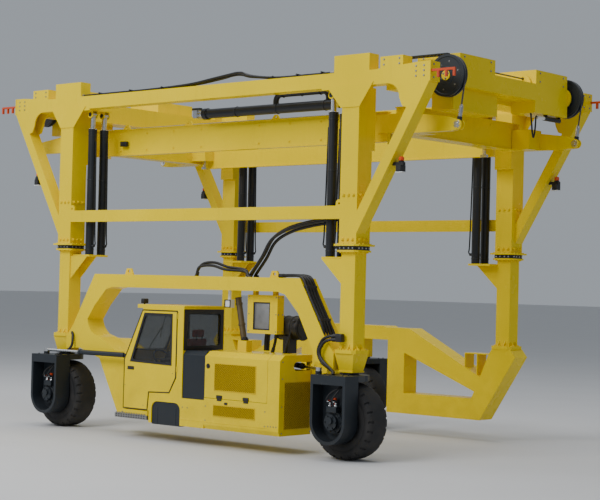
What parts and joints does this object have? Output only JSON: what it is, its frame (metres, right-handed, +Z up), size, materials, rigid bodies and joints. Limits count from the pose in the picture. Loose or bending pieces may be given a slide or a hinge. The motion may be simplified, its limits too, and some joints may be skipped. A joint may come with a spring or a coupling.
{
  "type": "straddle carrier",
  "caption": "Straddle carrier for containers: two side frames on steered wheels, telescoping columns, rope hoist with spreader, side cab and power pack.",
  "frame": {"origin": "on the ground, midway between the columns along and across", "axes": "+X forward, +Y to the cab side (left), +Z up"},
  "size_m": [9.18, 4.72, 5.4498],
  "materials": {
    "yellow_paint": "gloss industrial paint",
    "dark_paint": "satin dark grey paint",
    "cylinder_paint": "satin grey paint",
    "bright_rod": "ground and plated",
    "black_plastic": "moulded",
    "tyre": "rubber tread",
    "rim": "satin paint",
    "rope": "stranded wire, greased",
    "hose": "hydraulic hose",
    "orange_paint": "safety paint",
    "amber_lens": "clear lens",
    "lamp": "lens and housing",
    "glass": "tinted safety glass",
    "seat_fabric": "woven",
    "tread_plate": "perforated",
    "engine_black": "cast and painted"
  },
  "bodies": {
    "chassis": {"left_frame": "yellow_paint", "right_frame": "yellow_paint", "masts": "yellow_paint", "stop_pads": "black_plastic", "lift_barrels": "cylinder_paint", "cab_shell": "yellow_paint", "cab_roof": "yellow_paint", "cab_glass": "glass", "driver_seat": "seat_fabric", "cab_console": "black_plastic", "entry_step": "tread_plate", "side_skirt": "yellow_paint", "tanks": "dark_paint", "pack_housing": "yellow_paint", "engine": "engine_black", "hydraulic_cabinet": "yellow_paint", "work_lamp": "lamp"},
    "cab_door": {"cab_door": "yellow_paint", "door_glass": "glass"},
    "pack_door": {"pack_door": "yellow_paint"},
    "upper_frame": {"left_side_frame": "yellow_paint", "right_side_frame": "yellow_paint", "cross_girders": "yellow_paint", "lift_rods": "bright_rod", "catch_hooks": "orange_paint", "hoist_barrel": "cylinder_paint", "rope_runs": "rope", "rope_guides": "dark_paint", "rail_hoses": "hose", "beacons": "amber_lens", "brace_lamps": "lamp"},
    "hoist_rod": {"hoist_rod": "bright_rod"},
    "sheave_front_left": {"sheave_front_left": "dark_paint"},
    "sheave_front_right": {"sheave_front_right": "dark_paint"},
    "sheave_rear_left": {"sheave_rear_left": "dark_paint"},
    "sheave_rear_right": {"sheave_rear_right": "dark_paint"},
    "spreader": {"spreader": "yellow_paint", "hoist_ropes": "rope"},
    "twistlock_front_left": {"twistlock_front_left": "bright_rod"},
    "twistlock_front_right": {"twistlock_front_right": "bright_rod"},
    "twistlock_rear_left": {"twistlock_rear_left": "bright_rod"},
    "twistlock_rear_right": {"twistlock_rear_right": "bright_rod"},
    "fork_front": {"fork_front": "dark_paint"},
    "wheel_front": {"tyre_front": "tyre", "rim_front": "rim"},
    "steer_barrel_front": {"steer_barrel_front": "dark_paint"},
    "steer_rod_front": {"steer_rod_front": "bright_rod"},
    "fork_rear": {"fork_rear": "dark_paint"},
    "wheel_rear": {"tyre_rear": "tyre", "rim_rear": "rim"},
    "steer_barrel_rear": {"steer_barrel_rear": "dark_paint"},
    "steer_rod_rear": {"steer_rod_rear": "bright_rod"},
    "fork_right": {"fork_right": "dark_paint"},
    "wheel_right": {"tyre_right": "tyre", "rim_right": "rim"},
    "steer_barrel_right": {"steer_barrel_right": "dark_paint"},
    "steer_rod_right": {"steer_rod_right": "bright_rod"}
  },
  "joints": [
    {"name": "cab_door_hinge", "type": "hinge", "parent": "chassis", "child": "cab_door", "pos_m": [-0.062, 2.352, 1.2], "axis": [0, 0, 1], "range_deg": [0, 90]},
    {"name": "pack_door_hinge", "type": "hinge", "parent": "chassis", "child": "pack_door", "pos_m": [-1.23, 2.245, 1.35], "axis": [1, 0, 0], "range_deg": [0, 80]},
    {"name": "frame_lift", "type": "slide", "parent": "chassis", "child": "upper_frame", "axis": [0, 0, 1], "range_m": [0, 1.2]},
    {"name": "hoist", "type": "slide", "parent": "upper_frame", "child": "spreader", "axis": [0, 0, 1], "range_m": [-1.9, 0], "deforming": ["hoist_ropes"]},
    {"name": "hoist_rod_slide", "type": "slide", "parent": "upper_frame", "child": "hoist_rod", "axis": [1, 0, 0], "range_m": [0, 1.9]},
    {"name": "sheave_front_left_spin", "type": "hinge", "parent": "upper_frame", "child": "sheave_front_left", "pos_m": [4.1, 1.47, 5.135], "axis": [0, 1, 0], "continuous": true},
    {"name": "sheave_front_right_spin", "type": "hinge", "parent": "upper_frame", "child": "sheave_front_right", "pos_m": [4.1, -1.47, 5.135], "axis": [0, 1, 0], "continuous": true},
    {"name": "sheave_rear_left_spin", "type": "hinge", "parent": "upper_frame", "child": "sheave_rear_left", "pos_m": [-4.1, 1.47, 5.135], "axis": [0, 1, 0], "continuous": true},
    {"name": "sheave_rear_right_spin", "type": "hinge", "parent": "upper_frame", "child": "sheave_rear_right", "pos_m": [-4.1, -1.47, 5.135], "axis": [0, 1, 0], "continuous": true},
    {"name": "twistlock_front_left_turn", "type": "hinge", "parent": "spreader", "child": "twistlock_front_left", "pos_m": [2.9265, 1.1295, 4.35], "axis": [0, 0, 1], "range_deg": [0, 90]},
    {"name": "twistlock_front_right_turn", "type": "hinge", "parent": "spreader", "child": "twistlock_front_right", "pos_m": [2.9265, -1.1295, 4.35], "axis": [0, 0, 1], "range_deg": [0, 90]},
    {"name": "twistlock_rear_left_turn", "type": "hinge", "parent": "spreader", "child": "twistlock_rear_left", "pos_m": [-2.9265, 1.1295, 4.35], "axis": [0, 0, 1], "range_deg": [0, 90]},
    {"name": "twistlock_rear_right_turn", "type": "hinge", "parent": "spreader", "child": "twistlock_rear_right", "pos_m": [-2.9265, -1.1295, 4.35], "axis": [0, 0, 1], "range_deg": [0, 90]},
    {"name": "steer_front", "type": "hinge", "parent": "chassis", "child": "fork_front", "pos_m": [2.906, 1.874, 1.3], "axis": [0, 0, 1], "range_deg": [-40, 40]},
    {"name": "wheel_front_spin", "type": "hinge", "parent": "fork_front", "child": "wheel_front", "pos_m": [2.906, 1.874, 0.52], "axis": [0, 1, 0], "continuous": true},
    {"name": "steer_barrel_front_pivot", "type": "hinge", "parent": "chassis", "child": "steer_barrel_front", "pos_m": [1.16, 2.2, 1.2053], "axis": [0, 0, 1], "range_deg": [-2.93, 2.93]},
    {"name": "steer_rod_front_slide", "type": "slide", "parent": "steer_barrel_front", "child": "steer_rod_front", "axis": [1, 0, 0], "range_m": [-0.2296, 0.2296]},
    {"name": "steer_rear", "type": "hinge", "parent": "chassis", "child": "fork_rear", "pos_m": [-2.906, 1.874, 1.3], "axis": [0, 0, 1], "range_deg": [-40, 40]},
    {"name": "wheel_rear_spin", "type": "hinge", "parent": "fork_rear", "child": "wheel_rear", "pos_m": [-2.906, 1.874, 0.52], "axis": [0, 1, 0], "continuous": true},
    {"name": "steer_barrel_rear_pivot", "type": "hinge", "parent": "chassis", "child": "steer_barrel_rear", "pos_m": [-1.371, 1.463, 1.2053], "axis": [0, 0, 1], "range_deg": [-2.63, 2.63]},
    {"name": "steer_rod_rear_slide", "type": "slide", "parent": "steer_barrel_rear", "child": "steer_rod_rear", "axis": [-0.8594, 0.5112, 0], "range_m": [-0.3032, 0.3032]},
    {"name": "steer_right", "type": "hinge", "parent": "chassis", "child": "fork_right", "pos_m": [0, -1.874, 1.3], "axis": [0, 0, 1], "range_deg": [-40, 40]},
    {"name": "wheel_right_spin", "type": "hinge", "parent": "fork_right", "child": "wheel_right", "pos_m": [0, -1.874, 0.52], "axis": [0, 1, 0], "continuous": true},
    {"name": "steer_barrel_right_pivot", "type": "hinge", "parent": "chassis", "child": "steer_barrel_right", "pos_m": [1.5, -2.204, 1.2053], "axis": [0, 0, 1], "range_deg": [-1.87, 1.87]},
    {"name": "steer_rod_right_slide", "type": "slide", "parent": "steer_barrel_right", "child": "steer_rod_right", "axis": [-1, 0, 0], "range_m": [-0.2324, 0.2324]}
  ],
  "couplings": [
    {"joint": "hoist_rod_slide", "follows": "hoist", "ratio": -1},
    {"joint": "twistlock_front_right_turn", "follows": "twistlock_front_left_turn", "ratio": 1},
    {"joint": "twistlock_rear_left_turn", "follows": "twistlock_front_left_turn", "ratio": 1},
    {"joint": "twistlock_rear_right_turn", "follows": "twistlock_front_left_turn", "ratio": 1},
    {"joint": "steer_barrel_front_pivot", "follows": "steer_front", "ratio": 0.0683},
    {"joint": "steer_rod_front_slide", "follows": "steer_front", "m_per_rad": -0.326},
    {"joint": "steer_barrel_rear_pivot", "follows": "steer_rear", "ratio": -0.06086},
    {"joint": "steer_rod_rear_slide", "follows": "steer_rear", "m_per_rad": 0.4315},
    {"joint": "steer_barrel_right_pivot", "follows": "steer_right", "ratio": -0.04167},
    {"joint": "steer_rod_right_slide", "follows": "steer_right", "m_per_rad": -0.33}
  ]
}
